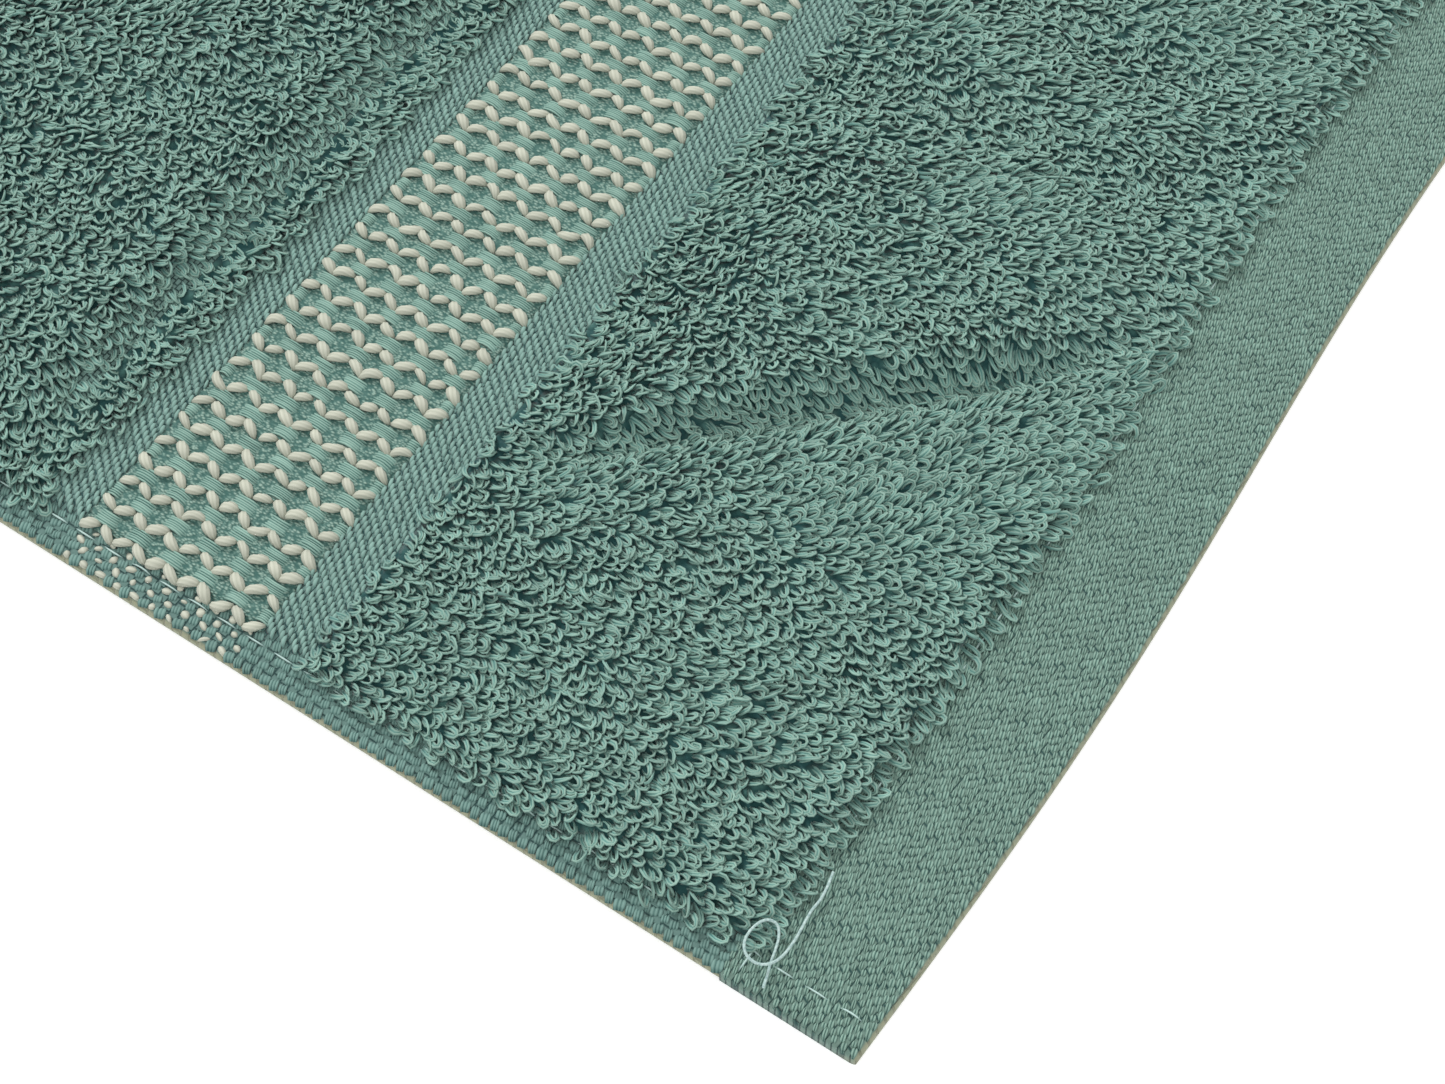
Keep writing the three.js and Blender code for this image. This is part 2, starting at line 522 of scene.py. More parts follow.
def objectPlace(scale=(1, 1, 1), angle=0.0):
    place = Wire.node("ShaderNodeTexCoord", None, None, 3)
    inputs = {"Vector": place, "Rotation": (0, 0, angle), "Scale": scale}
    return Wire.node("ShaderNodeMapping", None, inputs)


def noise(place, scale):
    inputs = {"Vector": place, "Scale": scale, "Detail": 2.0, "Roughness": 0.55}
    return Wire.node("ShaderNodeTexNoise", None, inputs)


def cells(place, scale):
    inputs = {"Vector": place, "Scale": scale, "Randomness": 0.9}
    return Wire.node("ShaderNodeTexVoronoi", {"feature": "F1"}, inputs)


def bumped(shader, height, distance, strength):
    inputs = {"Height": height, "Distance": distance, "Strength": strength}
    feed(shader, "Normal", Wire.node("ShaderNodeBump", None, inputs))


yarnShadeToHighlight = {
    # deep in the yarn, painted as shade; halfway up, its own colour; on its crown, painted as a highlight;
    # as colours on a screen
    "pile": ((56, 110, 108), (102, 144, 136), (138, 165, 152)),
    "stripe": ((36, 76, 78), (88, 124, 118), (124, 156, 147)),
    "hem": ((40, 76, 74), (101, 133, 123), (142, 169, 155)),
    "sideHem": ((38, 70, 70), (84, 116, 110), (118, 148, 140)),
    "tealYarn": ((48, 90, 86), (102, 138, 129), (148, 177, 164)),
    "whiteYarn": ((130, 134, 118), (162, 165, 150), (190, 192, 177)),
    "seamThread": ((96, 124, 122), (146, 174, 170), (178, 202, 197)),
    "pileFromAfar": ((63, 100, 92), (100, 132, 122), (127, 152, 139)),  # the loops' colours, painted shade and highlights run together
    "borderGround": ((60, 96, 90), (102, 134, 125), (140, 166, 154)),
}
paintedShadeBetweenLoops = ((34, 72, 72), (64, 102, 97))  # the cloth between real loops, painted dark as shade
undyedEdge = (142, 144, 120)  # the paler yarn that shows on a folded edge


def shadeToHighlightRamp(height, name, places):
    # the yarn's colour at three heights, with painted shade low down and a painted highlight high up
    return height.ramp(*zip(places, (sRgb(*colour) for colour in yarnShadeToHighlight[name])))


def yarnMaterial(name, colours, spread=0.16, sheen=0.15):
    # across the yarn map: each yarn's own tone; up it: from painted shade at its root to a painted highlight
    # at its crown
    material, shader = newMaterial(name, 0.9, sheen)
    at = Wire.node("ShaderNodeUVMap", {"uv_map": "OFBake"})
    tone = Wire.node("ShaderNodeSeparateXYZ", None, {"Vector": at}, 0)
    height = Wire.node("ShaderNodeSeparateXYZ", None, {"Vector": at}, 1)
    shade = (tone - 0.5) * (2 * spread) + 1
    shades = Wire.node("ShaderNodeCombineColor", None, {0: shade, 1: shade, 2: shade})
    feed(shader, "Base Color", shadeToHighlightRamp(height, colours, (0.05, 0.45, 0.98)).tinted(shades))
    return material


def pileMaterial():
    # the loops as they look from further off, with painted shade between their crowns, and the floor between
    # real loops, painted dark as shade
    material, shader = newMaterial("terryPile", 0.92, 0.15)
    place = objectPlace()
    crowns = cells(place, 560.0).stepped(0.75, 0.1)
    patches = noise(place, 55.0)
    fibres = noise(place, 1400.0)
    height = crowns * 0.75 + fibres * 0.25
    softened = patches.ramp((0.3, grey(0.9)), (0.7, grey(1.04)))
    # the crowns are painted lighter as a highlight and the hollows between them darker as shade
    shaded = shadeToHighlightRamp(height, "pileFromAfar", (0.12, 0.5, 0.95)).tinted(softened)
    shadedFloor = height.ramp(*zip((0.2, 0.8), (sRgb(*colour) for colour in paintedShadeBetweenLoops)))
    # where real loops stand, the body shows as the floor between them, painted dark as shade
    feed(shader, "Base Color", Wire.attribute("rooted").stepped(0.4, 1.0).mixed(shaded, shadedFloor))
    bumped(shader, height + patches * 0.4, 1.2 * mm, 0.8)
    return material


def weaveMaterial(name, colours, pitch, lean):
    # short grains side by side, each row half a grain on from the last
    material, shader = newMaterial(name, 0.86, 0.1)
    across, along = pitch
    gaps = Wire.node("ShaderNodeTexBrick", {"offset": 0.5, "squash": 1.0}, {
        "Vector": objectPlace((1 / across, 1 / along, 1), lean),
        "Scale": 1.0, "Brick Width": 1.0, "Row Height": 1.0,
        "Mortar Size": 0.16, "Mortar Smooth": 1.0,
    }, 1)
    place = objectPlace()
    fibres = noise(place, 1900.0)
    patches = noise(place, 60.0)
    # the gaps between grains are painted darker as shade and the grains' crowns lighter as a highlight
    height = (1 - gaps) * 0.75 + fibres * 0.25
    softened = patches.ramp((0.3, grey(0.74)), (0.7, grey(0.86)))
    shaded = shadeToHighlightRamp(height, colours, (0.1, 0.5, 0.95)).tinted(softened)
    deep = opaque(sRgb(*yarnShadeToHighlight[colours][0]))
    # where woven yarns stand, the cloth is painted darker, as shade between them
    below = (Wire.attribute("covered") * 0.3).mixed(shaded, deep)
    worn = (Wire.attribute("foldedEdge") * (fibres * 0.8 + 0.5)).clamped()
    feed(shader, "Base Color", worn.mixed(below, opaque(sRgb(*undyedEdge))))
    bumped(shader, height, 0.3 * mm, 0.9)
    return material


def openWeaveMaterial():
    # the dark open weave between the border's yarns, with painted shade in its hollows and a painted
    # highlight on its knots
    material, shader = newMaterial("borderGround", 0.9, 0.05)
    knots = cells(objectPlace((1, 0.6, 1), 0.5), 3000.0)
    strands = noise(objectPlace((1, 0.4, 1), 0.5), 3000.0)
    height = knots.stepped(0.75, 0.15) * 0.55 + strands * 0.45
    feed(shader, "Base Color", shadeToHighlightRamp(height, "borderGround", (0.2, 0.5, 0.8)))
    bumped(shader, height, 0.3 * mm, 0.9)
    return material


finish = {
    "pileYarn": yarnMaterial("pileYarn", "pile", 0.2),
    "pile": pileMaterial(),
    "ground": weaveMaterial("groundCloth", "sideHem", (1.0 * mm, 0.6 * mm), 0.0),
    "stripeYarn": yarnMaterial("stripeYarn", "stripe"),
    "stripe": weaveMaterial("stripeWeave", "stripe", (1.4 * mm, 0.6 * mm), 0.25),
    "hemYarn": yarnMaterial("hemYarn", "hem", 0.12),
    "hem": weaveMaterial("endHemWeave", "hem", (1.6 * mm, 0.8 * mm), 0.2),
    "sideHemYarn": yarnMaterial("sideHemYarn", "sideHem", 0.14),
    "sideHem": weaveMaterial("sideHemWeave", "sideHem", (1.1 * mm, 1.3 * mm), 0.0),
    "borderGround": openWeaveMaterial(),
    "tealYarn": yarnMaterial("tealYarn", "tealYarn", 0.08),
    "whiteYarn": yarnMaterial("whiteYarn", "whiteYarn", 0.08, 0.1),
    "seamThread": yarnMaterial("seamThread", "seamThread", 0.1, 0.0),
}
print("materials made")


# the loose thread at the corner

looseThread = {
    "diameter": 0.35 * mm,
    "height": 3.325 * mm,
    "colours": ((132, 160, 158), (184, 204, 200)),
    "route": [  # mm from the left side, from the near end, and up from the seam
        (0.9, 12.8, 0), (2.3, 13.2, 0), (3.8, 13.7, 0.05), (5.4, 14.1, 0.2), (6.8, 14.6, 0.4),
        (7.7, 15.4, 0.7), (7.6, 16.4, 1), (6.7, 17.1, 1.2), (5.2, 17.4, 1.3), (3.8, 17.2, 1.3),
        (2.8, 16.4, 1.25), (2.5, 15.3, 1.1), (2.8, 14.2, 0.95), (3.8, 13.3, 0.8), (5.4, 12.9, 0.5),
        (7.4, 12.9, 0.2), (9.4, 13.1, 0.05), (11.4, 13.3, 0), (13.2, 13.2, 0), (15, 13.4, 0),
        (16.8, 13.8, 0),
    ],
}


def throughPoints(points, steps):
    # a smooth line through the points
    points = np.asarray(points, float)
    padded = np.concatenate([[2 * points[0] - points[1]], points, [2 * points[-1] - points[-2]]])
    line = []
    for index in range(len(points) - 1):
        a, b, c, d = padded[index:index + 4]
        for step in range(steps):
            t = step / steps
            line.append(0.5 * (2 * b + (c - a) * t + (2 * a - 5 * b + 4 * c - d) * t * t
                               + (3 * b - a - 3 * c + d) * t**3))
    line.append(points[-1])
    return np.array(line)


def makeLooseThread():
    route = np.array(looseThread["route"]) * mm
    points = route + np.array([-halfWidth, -halfLength, looseThread["height"]])
    line = throughPoints(points, 6)
    curve = bpy.data.curves.new("loose_thread", "CURVE")
    curve.dimensions = "3D"
    curve.bevel_depth = looseThread["diameter"] / 2
    curve.bevel_resolution = 3
    curve.use_fill_caps = True
    spline = curve.splines.new("POLY")
    spline.points.add(len(line) - 1)
    spline.points.foreach_set("co", np.column_stack([line, np.ones(len(line))]).ravel())
    spline.use_smooth = True
    thread = bpy.data.objects.new("loose_thread", curve)
    scene.collection.objects.link(thread)
    material, shader = newMaterial("looseThread", 0.7)
    twist = noise(objectPlace((1, 1, 1), 0.4), 3500.0)
    dark, pale = (sRgb(*colour) for colour in looseThread["colours"])
    feed(shader, "Base Color", twist.ramp((0.3, dark), (0.7, pale)))
    curve.materials.append(material)
    length = float(np.sum(np.linalg.norm(np.diff(line, axis=0), axis=1)))
    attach(thread, "near_half")
    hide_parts("corner_thread_tail")
    print(f"loose thread: {length / mm:.1f} mm")
    return thread, tuple(points[0]), length


thread, threadExit, threadLength = makeLooseThread()


# the two halves: where each piece goes

clothSides = (-halfWidth + sideHemWidth, halfWidth - sideHemWidth)


def spanOf(half, zone):
    # the zone's stretch along the towel, from its lower to its higher place
    start, end = zones[zone]
    low, high = halfLength - end, halfLength - start
    return (-high, -low) if half == "near" else (low, high)


def settle(piece, half, node, crosses=False):
    # hands a finished piece to its half of the towel; a far piece that crosses keeps its place baked in and
    # stays unattached
    if half == "far" and crosses:
        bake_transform(piece)
    else:
        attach(piece, half + "_half")
    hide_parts(half + "_" + node)


def markPoints(piece, name, values):
    # a value at each point, for the piece's material
    attribute = piece.data.attributes.new(name, "FLOAT", "POINT")
    attribute.data.foreach_set("value", np.asarray(values, np.float32).ravel())


def markShadeUnderYarns(piece, x, y):
    # 1 where woven yarns stand on the cloth, which is painted darker between them as shade
    outside = outOfView(x, y, groundHeight(x, y))
    markPoints(piece, "covered", (1 - rising(outside, viewMargin, 0.01)) * (y < 0))


def inView(x, y):
    # where yarns are made one by one
    return outOfView(x, y, np.full_like(x, levels["yarns"])) < viewMargin


# ground cloth and terry bodies

bodyPile = {
    "step": 5.6 * mm,
    "rootHeight": 0.4 * mm,  # of the pile's body where real loops stand on it
    "unevenness": 0.35 * mm,
    "backHeight": 2.3 * mm,
    "backUnevenness": 0.3 * mm,
    "rimSpread": 0.9 * mm,
}
loopReach = {"full": 0.012, "none": 0.05}  # outside the view, as shares of its width
loopsEnd = -halfLength + 0.4  # no real loops stand further along


def loopFade(outside):
    # from 0 where the loops are all there to 1 where there are none
    return (outside - loopReach["full"]) / (loopReach["none"] - loopReach["full"])


def rootedAt(x, y):
    # 1 where real loops stand, 0 where the pile is a body
    if np.min(y) >= loopsEnd:
        return np.zeros_like(x)
    seen = 1 - smooth(loopFade(outOfView(x, y, groundHeight(x, y))))
    return np.where(y < loopsEnd, seen, 0.0)


def pileTop(x, y):
    body = levels["pile"] + bodyPile["unevenness"] * softNoise(x, y, 11 * mm, 11, 2)
    return groundHeight(x, y) + body + (bodyPile["rootHeight"] - body) * rootedAt(x, y)


def pileRim(low, high):
    # the body's ragged overhang at its edges, but not at the fold
    (x0, x1), (y0, y1) = low, high
    near = 1e-6

    def shift(x, y):
        amount = bodyPile["rimSpread"] * (1 + softNoise(x, y, 6 * mm, 5, 2))
        side = np.where(x - x0 < near, -1.0, 0) + np.where(x1 - x < near, 1.0, 0)
        end = np.where((y - y0 < near) & (abs(y0) > near), -1.0, 0)
        end += np.where((y1 - y < near) & (abs(y1) > near), 1.0, 0)
        return np.stack([side * amount, end * amount], -1) * (1 - rootedAt(x, y)[..., None])

    return shift


def clothUnderside(x, y):
    return groundHeight(x, y) - levels["groundThickness"]


def pileUnderside(x, y):
    lift = bodyPile["backUnevenness"] * (1 + softNoise(x, y, 12 * mm, 21, 2))
    return np.maximum(clothUnderside(x, y) - bodyPile["backHeight"] + lift, 0.0)


def makeTerry(half, zone):
    low, high = spanOf(half, zone)
    left, right = clothSides
    name = f"{half}_{zone}"
    crosses = zone == "field"
    fine, step = 2 * mm, bodyPile["step"]
    if half == "near" and zone == "strip":
        xs = linesAcross(left, right, fine, step)
        clothXs = linesAcross(left, right, fine, 12 * mm)
        ys = clothYs = spacing(low, high, fine)
    else:
        xs = spacing(left, right, step)
        clothXs = linesAcross(left, right, 4 * mm, 12 * mm)
        ys = linesAlong(low, high, step)
        clothYs = linesAlong(low, high, 8 * mm)
    cloth = slab(name + "_ground_cloth", clothXs, clothYs, groundHeight, clothUnderside, finish["ground"])
    settle(cloth, half, zone + "_ground", crosses)
    shift = pileRim((left, right), (low, high))
    face = slab(name + "_face_pile", xs, ys, pileTop, groundHeight, finish["pile"], shift)
    rooted = rootedAt(*np.meshgrid(xs, ys))
    markPoints(face, "rooted", [rooted, rooted])
    settle(face, half, zone + "_pile_face", crosses)
    back = slab(name + "_back_pile", xs, ys, clothUnderside, pileUnderside, finish["pile"], shift)
    settle(back, half, zone + "_pile_back", crosses)
    return cloth, [face, back], (right - left, high - low)


# loops

pileLoops = {
    "pitch": (1.2 * mm, 1.02 * mm),
    "jitter": 0.22 * mm,
    "length": (1.9 * mm, 2.8 * mm),
    "reach": (0.5 * mm, 0.78 * mm),  # from the loop's middle line to its yarn
    "strand": 0.2 * mm,  # half of one strand's thickness
    "tilt": (40, 68),  # degrees from upright
    "lean": -108,  # degrees from X
    "leanSpread": 16,
    "sway": 25,
    "turnAtCrease": 48,
    "turnSpread": 20,  # degrees about the loop's own height
    "root": 0.25 * mm,  # how deep it starts in the cloth
    "droop": 0.35 * mm,
    "curl": 1.6 * mm,
    "curlSpread": 0.22,
    "steps": 7,
    "overhang": 1.9 * mm,  # past the edge of the terry
    "area": (0.22, 0.26),  # across and along from the near left corner
    "inOnePiece": 2000,
}


def pairOfStrands():
    # the yarn in section, its two strands side by side, and how far each corner stands out of the groove,
    # which also paints the groove between the strands darker as shade
    outline = [(1.75, 0), (0.92, 0.9), (0, 0.1), (-0.92, 0.9), (-1.75, 0), (0, -0.75)]
    crest = [0.3, 1.0, -0.35, 1.0, 0.3, 0.0]
    return np.array(outline), np.array(crest)


def leanAt(x, y):
    # the way the loops lie, as an angle on the floor, turned along the crease just below it
    u, v = x + halfWidth, y + halfLength
    sway = pileLoops["sway"] * softNoise(x, y, 0.03, 31, 2)
    below = rising(-u - v, -0.124, 0.012) * rising(u + v, 0.075, 0.02) * rising(u, 0.035, 0.02)
    along = pileLoops["turnAtCrease"] * below * (1 - rising(u, 0.1, 0.02))
    return np.radians(pileLoops["lean"] + sway + along)


def scatter(low, high, margin):
    # loop places on a loose staggered grid, with a ragged rim
    (x0, x1), (y0, y1) = low, high
    pitchX, pitchY = pileLoops["pitch"]
    xs = np.arange(x0 - margin, x1, pitchX)
    ys = np.arange(y0 - margin, y1 + margin, pitchY)
    x, y = np.meshgrid(xs, ys)
    x = x + pitchX * 0.5 * (np.arange(len(ys)) % 2)[:, None]
    jitter = pileLoops["jitter"]
    x = x + rng.normal(0, jitter, x.shape)
    y = y + rng.normal(0, jitter, y.shape)
    ragged = margin * rng.random(x.shape)
    keep = (x > x0 - ragged) & (y > y0 - ragged) & (y < y1 + ragged)
    return x[keep], y[keep]


def makeLoops(name, x, y):
    count = len(x)
    shape = pileLoops
    point, normal, across, along = clothFrame(x, y)
    lean = leanAt(x, y) + rng.normal(0, math.radians(shape["leanSpread"]), count)
    tilt = np.radians(rng.uniform(*shape["tilt"], count))
    length = rng.uniform(*shape["length"], count)
    reachAcross = rng.uniform(*shape["reach"], count)
    forward = np.cos(lean)[:, None] * across + np.sin(lean)[:, None] * along
    forward /= np.linalg.norm(forward, axis=1, keepdims=True)
    sideways = np.cross(normal, forward)
    rise = np.cos(tilt)[:, None] * normal + np.sin(tilt)[:, None] * forward
    turn = rng.normal(0, math.radians(shape["turnSpread"]), count)
    plane = np.cross(rise, sideways)
    spread = np.cos(turn)[:, None] * sideways + np.sin(turn)[:, None] * plane
    # up one leg, round the head and down the other, which comes back nearly to its root
    t = np.linspace(0, 1, shape["steps"])[None, :]
    swing = np.pi * (t - 0.5)
    reach = np.cos(swing * 0.97) ** 0.75
    width = np.sin(swing) * (0.72 + 0.45 * np.cos(swing))
    curl = rng.normal(0, shape["curlSpread"], count)[:, None] * reach * width
    path = (
        point[:, None]
        + rise[:, None] * (reach * length[:, None] - shape["root"])[..., None]
        + spread[:, None] * (width * reachAcross[:, None])[..., None]
        + plane[:, None] * (curl * shape["curl"])[..., None]
        + forward[:, None] * (reach**2 * shape["droop"])[..., None]
    )
    section, crest = pairOfStrands()
    twist = rng.normal(0, 0.3, count)[:, None] + rng.normal(0, 0.45, count)[:, None] * (t - 0.5) * 2
    frameUp = np.cross(spread, rise)
    # the strands lie beside each other in the loop's own plane
    sections = turned(section[None], twist) * shape["strand"]
    fine = 0.86 + 0.22 * rng.random(count)
    sections = sections * fine[:, None, None, None]
    tangent = np.gradient(path, axis=1)
    side = np.cross(tangent, frameUp[:, None])
    tones = 0.04 + 0.92 * np.clip(0.5 + 0.22 * rng.normal(0, 1, count), 0, 1)
    # each loop is painted darker towards its feet as shade and lighter on its head as a highlight
    heights = np.broadcast_to(np.clip(reach, 0, 1), path.shape[:2])
    points, faces, uv, groove = sweep(path, side, sections, tones, heights, crest)
    return newPiece(name, points, faces, finish["pileYarn"], uv, groove)


def loopsOn(zone):
    low, high = spanOf("near", zone)
    across, along = pileLoops["area"]
    high = min(high, -halfLength + along)
    x, y = scatter((clothSides[0], -halfWidth + across), (low, high), pileLoops["overhang"])
    keep = rng.random(len(x)) < 1 - loopFade(outOfView(x, y, groundHeight(x, y)))
    x, y = x[keep], y[keep]
    pieces = []
    order = np.argsort(y + 0.3 * x)
    parts = np.array_split(order, math.ceil(len(order) / pileLoops["inOnePiece"]))
    for number, part in enumerate(parts, 1):
        piece = makeLoops(f"near_{zone}_loops_{number}", x[part], y[part])
        settle(piece, "near", zone + "_pile_face")
        pieces.append(piece)
    print(f"{zone}: {len(x)} loops")
    return pieces


terry = {(half, zone): makeTerry(half, zone) for half in halves for zone in ("strip", "field")}
print("terry bodies made")
loops = {zone: loopsOn(zone) for zone in ("strip", "field")}


# short yarns that dip into the cloth at both ends; what their dictionaries say:
# form: ribbon for strands side by side, pair for two strands, round for one, with or without lobes;
# height and sink: of the middle and the ends above the cloth; tip: the ends' share of the width;
# vary, bend and ragged: how uneven they are; waist: the middle's share of the width;
# and the ends' colour is painted darker, as shade where they dip into the cloth

def sectionsOf(yarn, count):
    # each yarn in section, one unit each way, and how far each corner stands out of a groove, which also
    # paints the grooves darker as shade
    if yarn["form"] == "ribbon":
        sides = 2 * yarn["strands"] + 1
        inner = np.arange(1, sides - 1)
        place = np.tile(np.linspace(1, -1, sides), (count, 1))
        place[:, inner] += rng.normal(0, 0.22 / sides, (count, len(inner)))
        crest = np.tile(0.5 - 0.5 * np.cos(np.arange(sides) * np.pi), (count, 1))
        grooves = np.arange(2, sides - 1, 2)
        shades = rng.uniform(yarnMap["grooveBelow"], yarn["grooveShade"], (count, len(grooves)))
        crest[:, grooves] = -shades
        top = np.stack([place, (0.6 + 0.6 * crest) * (1 - 0.35 * place**4)], -1)
        under = np.broadcast_to([[-1.0, -0.9], [1.0, -0.9]], (count, 2, 2))
        return np.concatenate([top, under], 1), np.concatenate([crest, np.full((count, 2), 0.1)], 1)
    if yarn["form"] == "pair":
        outline = [(1, -0.1), (0.55, 0.9), (0, -0.2), (-0.55, 0.9), (-1, -0.1), (0, -0.7)]
        return np.array([outline]), np.array([[-0.5, 1.0, -0.8, 1.0, -0.5, -0.5]])
    lobes = yarn.get("lobes", 0)
    angle = 2 * np.pi * np.arange(yarn["sides"]) / yarn["sides"]
    crest = np.cos(angle * lobes) * 0.5 + 0.5 if lobes else np.ones(yarn["sides"])
    radius = 1 - yarn.get("groove", 0) * (1 - crest)
    return np.stack([np.cos(angle) * radius, np.sin(angle) * radius], -1)[None], crest[None]


def shortYarns(name, x, y, yarn, material, direction=0.0, lengths=1.0):
    # direction: the way each lies on the cloth, from X; lengths: shares of the yarn's full length
    point, normal, across, along = clothFrame(x, y)
    count, steps = len(x), yarn["steps"]
    direction = np.broadcast_to(direction, (count,))
    forward = np.cos(direction)[:, None] * across + np.sin(direction)[:, None] * along
    forward /= np.linalg.norm(forward, axis=1, keepdims=True)
    sideways = np.cross(normal, forward)
    s = np.linspace(-1, 1, steps)[None, :]
    length = yarn["length"] * lengths * (1 + yarn.get("vary", 0.08) * rng.normal(0, 1, count))
    bend = rng.normal(0, yarn.get("bend", 0.04), count)[:, None] * (1 - s * s)
    arch = yarn["sink"] + (yarn["height"] - yarn["sink"]) * np.cos(s * np.pi / 2) ** 0.8
    path = (
        point[:, None]
        + forward[:, None] * (s * length[:, None] / 2)[..., None]
        + sideways[:, None] * (bend * length[:, None])[..., None]
        + normal[:, None] * np.broadcast_to(arch, (count, steps))[..., None]
    )
    outlines, crest = sectionsOf(yarn, count)
    blunt, tip, waist = yarn.get("blunt", 2.5), yarn.get("tip", 0.35), yarn.get("waist", 1.0)
    taper = np.maximum(1 - np.abs(s) ** blunt * (1 - tip), 0.05)
    narrow = waist + (1 - waist) * s**2
    # strands wind round the yarn, whose outline stays flat
    turns = turned(outlines, yarn.get("twist", 0.0) * s + np.zeros((count, 1)))
    sections = turns * np.array([yarn["width"] / 2, yarn["thickness"] / 2]) * taper[..., None, None]
    sections[..., 0] *= narrow[..., None] * (1 + rng.normal(0, yarn.get("vary", 0.08), (count, 1, 1)))
    sections[..., 1] *= 1 + rng.normal(0, 0.05, (count, 1, 1))
    # strands sink into the cloth at slightly different places
    ragged = yarn.get("ragged", 0.0) * rng.normal(0, 1, (count, 1, crest.shape[1]))
    sections[..., 1] += ragged * (s**2)[..., None]
    tones = 0.04 + 0.92 * np.clip(0.5 + 0.2 * rng.normal(0, 1, count), 0, 1)
    # each yarn is painted darker at its ends, as shade where it dips into the cloth, and lighter in its
    # middle as a highlight
    low = yarn.get("tipShade", 0.0)
    heights = np.broadcast_to(low + (1 - low) * np.cos(s * np.pi / 2) ** 0.6, (count, steps))
    side = np.broadcast_to(sideways[:, None], path.shape)
    points, faces, uv, groove = sweep(path, side, sections, tones, heights, crest[:, None])
    return newPiece(name, points, faces, material, uv, groove)


# plain stripes beside the border

stripeGrain = {
    "form": "round", "length": 1.52 * mm, "width": 0.56 * mm, "thickness": 0.5 * mm,
    "height": 0.2 * mm, "sink": -0.2 * mm, "steps": 5, "sides": 5, "tip": 0.4,
    "pitch": (1.38 * mm, 0.6 * mm), "lean": 0.3, "rowShift": 0.36,
}


def makeStripe(half, node):
    low, high = spanOf(half, node)
    left, right = clothSides
    label = {"outerStripe": "outer_stripe", "innerStripe": "inner_stripe"}[node]
    xs = linesAcross(left, right, 2 * mm, 8 * mm)
    stripe = slab(f"{half}_{label}_cloth", xs, spacing(low, high, 1.2 * mm),
                  groundHeight, clothUnderside, finish["stripe"])
    settle(stripe, half, label)
    places = np.empty(len(stripe.data.vertices) * 3)
    stripe.data.vertices.foreach_get("co", places)
    markShadeUnderYarns(stripe, places[::3], places[1::3])
    pieces = [stripe]
    if half == "near":
        pitchX, pitchY = stripeGrain["pitch"]
        xs = np.arange(left + 0.5 * mm, -halfWidth + 0.2, pitchX)
        ys = np.arange(low + 0.3 * mm, high - 0.1 * mm, pitchY)
        x, y = np.meshgrid(xs, ys)
        x = (x + pitchX * stripeGrain["rowShift"] * np.arange(len(ys))[:, None] % pitchX).ravel()
        y = y.ravel() + rng.normal(0, 0.03 * mm, x.shape)
        keep = inView(x, y)
        yarns = shortYarns(f"near_{label}_yarns", x[keep], y[keep], stripeGrain, finish["stripeYarn"],
                           stripeGrain["lean"])
        settle(yarns, half, label)
        pieces.append(yarns)
    return pieces


stripes = {half: makeStripe(half, "outerStripe") + makeStripe(half, "innerStripe") for half in halves}
print("stripes made")


# the border: zigzag chains of thick white stitches, with flat teal bundles between them

border = {
    "chainPitch": 3.59 * mm,
    "stitches": 11,  # along one chain
    "lean": 30,  # degrees from the towel's length
    "firstChain": 0.3 * mm,  # from the side hem
    "stray": 0.07 * mm,
    "bundleStray": 0.06 * mm,
}
whiteStitch = {
    "form": "round", "length": 2.9 * mm, "width": 1.42 * mm, "thickness": 1.05 * mm,
    "height": 0.62 * mm, "sink": -0.05 * mm, "steps": 7, "sides": 12, "lobes": 6, "groove": 0.2,
    "twist": 0.8, "tip": 0.34, "blunt": 2.4, "vary": 0.09, "bend": 0.07, "tipShade": 0.35,
}
farStitch = {**whiteStitch, "steps": 4, "sides": 5, "lobes": 0}
tealBundle = {
    "form": "ribbon", "length": 3.9 * mm, "width": 2.3 * mm, "waist": 0.78, "height": 0.22 * mm,
    "sink": -0.42 * mm, "thickness": 0.46 * mm, "strands": 6, "steps": 6, "tip": 0.85,
    "tipShade": 0.3, "vary": 0.05, "bend": 0.03, "grooveShade": 1.3, "ragged": 0.1 * mm,
}
farBundle = {**tealBundle, "strands": 2, "steps": 4}


def borderPlaces(half):
    # chains and their turning points, as places on the cloth
    low, high = spanOf(half, "border")
    left, right = clothSides
    wide = right - left - 2 * border["firstChain"]
    chains = int(round(wide / border["chainPitch"])) + 1
    xs = left + border["firstChain"] + np.linspace(0, wide, chains)
    edges = np.linspace(low, high, border["stitches"] + 1)
    return xs, edges


def makeStitches(half):
    xs, edges = borderPlaces(half)
    middle = (edges[:-1] + edges[1:]) / 2
    chain, row = np.meshgrid(np.arange(len(xs)), np.arange(len(middle)), indexing="ij")
    sign = np.where((chain + row) % 2 == 0, 1.0, -1.0)
    x = xs[chain] + rng.normal(0, border["stray"], chain.shape)
    y = middle[row] + rng.normal(0, border["stray"], chain.shape)
    direction = math.pi / 2 + sign * (math.radians(border["lean"]) + rng.normal(0, 0.06, chain.shape))
    x, y, direction = x.ravel(), y.ravel(), direction.ravel()
    near = inView(x, y) if half == "near" else np.zeros(len(x), bool)
    made = []
    if near.any():
        made.append(shortYarns("near_border_thick_stitches", x[near], y[near], whiteStitch,
                               finish["whiteYarn"], direction[near]))
    for number, part in enumerate(np.array_split(np.flatnonzero(~near), 2), 1):
        made.append(shortYarns(f"{half}_border_thick_stitches_far_{number}", x[part], y[part], farStitch,
                               finish["whiteYarn"], direction[part]))
    for piece in made:
        settle(piece, half, "border_thick_yarn")
    return made


